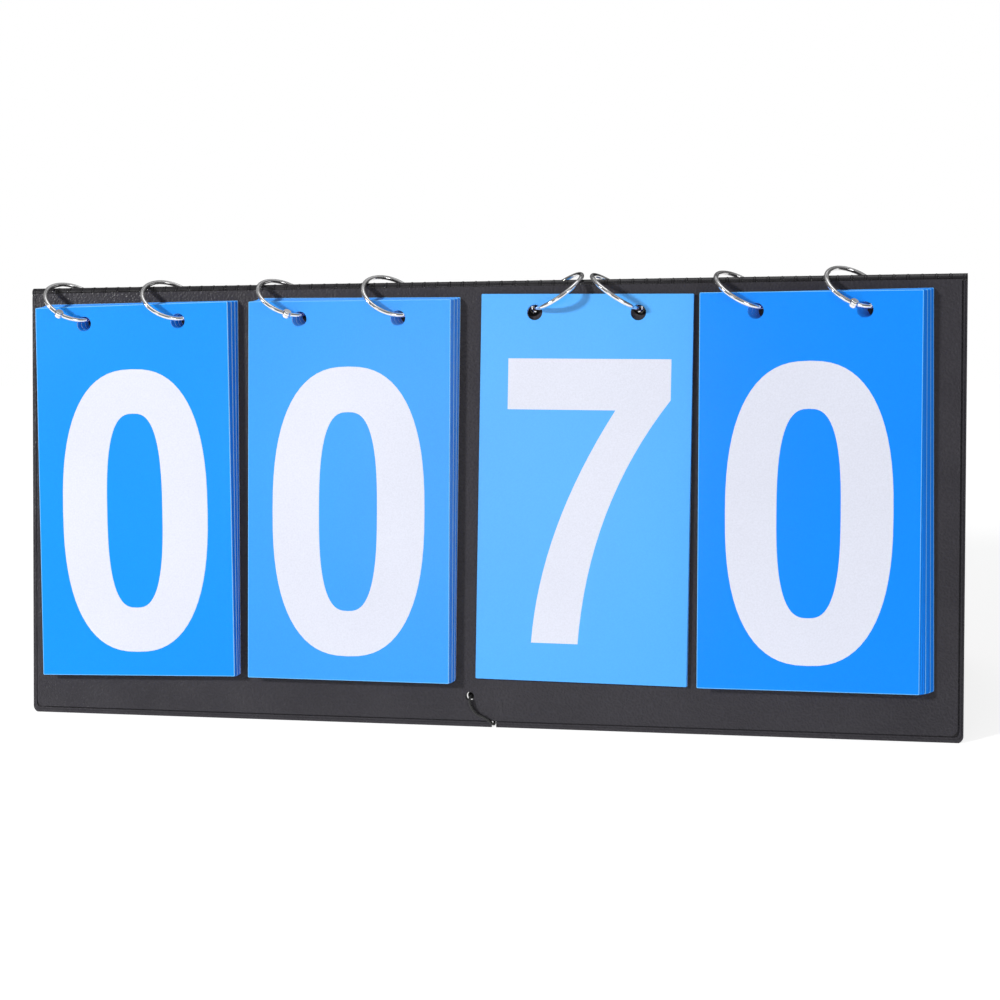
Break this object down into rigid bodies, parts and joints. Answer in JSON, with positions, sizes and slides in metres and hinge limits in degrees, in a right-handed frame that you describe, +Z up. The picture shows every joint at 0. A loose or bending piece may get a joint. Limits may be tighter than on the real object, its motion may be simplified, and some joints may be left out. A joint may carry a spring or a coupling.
{
  "type": "tabletop flip scoreboard",
  "caption": "Folding A-frame score keeper: hinged grained boards, stacks of number cards on split rings, and a stay cord near the feet.",
  "frame": {"origin": "on the table under the middle of the fold", "axes": "+Z up, +X to the right along the fold, front face with the cards towards -Y"},
  "size_m": [0.398, 0.1024, 0.1825],
  "materials": {
    "skin": "grained vinyl skin",
    "greyboard": "stiff pressed board",
    "welt": "smooth vinyl",
    "ring_metal": "bright plated steel wire",
    "rivet_metal": "bright plated steel",
    "card": "glossy printed sheet",
    "cord": "braided"
  },
  "bodies": {
    "front_board": {"front_cover": "skin", "front_lining": "skin", "front_stiffener": "greyboard", "spine_welt": "welt", "ring_1_fixed_half": "ring_metal", "ring_2_fixed_half": "ring_metal", "ring_2_gate_half": "ring_metal", "ring_3_fixed_half": "ring_metal", "ring_4_fixed_half": "ring_metal", "ring_4_gate_half": "ring_metal", "ring_5_fixed_half": "ring_metal", "ring_5_gate_half": "ring_metal", "ring_6_fixed_half": "ring_metal", "ring_6_gate_half": "ring_metal", "ring_7_fixed_half": "ring_metal", "ring_7_gate_half": "ring_metal", "ring_8_fixed_half": "ring_metal", "ring_rivets": "rivet_metal", "card_1_number_1": "card", "card_1_number_2": "card", "card_1_number_3": "card", "card_1_number_4": "card", "card_1_number_5": "card", "card_1_numbers_6_to_9": "card", "card_2_number_1": "card", "card_2_number_2": "card", "card_2_number_3": "card", "card_2_number_4": "card", "card_2_number_5": "card", "card_2_numbers_6_to_9": "card", "card_4_number_1": "card", "card_4_number_2": "card", "card_4_number_3": "card", "card_4_number_4": "card", "card_4_number_5": "card", "card_4_numbers_6_to_9": "card", "card_3_number_8": "card", "card_3_number_9": "card", "front_cord_loop": "cord", "front_cord_knot": "cord", "stay_cord": "cord"},
    "rear_board": {"rear_cover": "skin", "rear_lining": "skin", "rear_stiffener": "greyboard", "rear_cord_loop": "cord", "rear_cord_knot": "cord", "card_3_number_0": "card", "card_3_number_1": "card", "card_3_number_2": "card", "card_3_number_3": "card", "card_3_number_4": "card", "card_3_number_5": "card", "card_3_number_6": "card"},
    "card_1_top": {"card_1_number_0": "card"},
    "card_2_top": {"card_2_number_0": "card"},
    "card_3_top": {"card_3_number_7": "card"},
    "card_4_top": {"card_4_number_0": "card"},
    "ring_1_gate": {"ring_1_gate_half": "ring_metal"},
    "ring_3_gate": {"ring_3_gate_half": "ring_metal"},
    "ring_8_gate": {"ring_8_gate_half": "ring_metal"}
  },
  "joints": [
    {"name": "board_fold", "type": "hinge", "parent": "front_board", "child": "rear_board", "pos_m": [0, 0, 0.17754], "axis": [-1, 0, 0], "range_deg": [0, 14], "deforming": ["stay_cord"]},
    {"name": "card_1_top_lift", "type": "hinge", "parent": "front_board", "child": "card_1_top", "pos_m": [-0.15077, -0.0087, 0.17328], "axis": [-0.9998, -0.005, -0.0185], "range_deg": [0, 10]},
    {"name": "card_2_top_lift", "type": "hinge", "parent": "front_board", "child": "card_2_top", "pos_m": [-0.05319, -0.00857, 0.17377], "axis": [-1, 0.0008, 0.0029], "range_deg": [0, 10]},
    {"name": "card_3_top_lift", "type": "hinge", "parent": "front_board", "child": "card_3_top", "pos_m": [0.04731, -0.00481, 0.17441], "axis": [-0.9999, 0.0035, 0.013], "range_deg": [0, 8]},
    {"name": "card_4_top_lift", "type": "hinge", "parent": "front_board", "child": "card_4_top", "pos_m": [0.13794, -0.0083, 0.17477], "axis": [-1, 0.0006, 0.0021], "range_deg": [0, 5]},
    {"name": "ring_1_opening", "type": "hinge", "parent": "front_board", "child": "ring_1_gate", "pos_m": [-0.18102, -0.01545, 0.171], "axis": [0.5063, -0.2656, 0.8205], "range_deg": [0, 50]},
    {"name": "ring_3_opening", "type": "hinge", "parent": "front_board", "child": "ring_3_gate", "pos_m": [-0.07901, -0.01387, 0.16945], "axis": [0.4832, -0.2257, 0.8459], "range_deg": [0, 50]},
    {"name": "ring_8_opening", "type": "hinge", "parent": "front_board", "child": "ring_8_gate", "pos_m": [0.15506, -0.01254, 0.17044], "axis": [0.4255, -0.3395, 0.8389], "range_deg": [0, 50]}
  ]
}
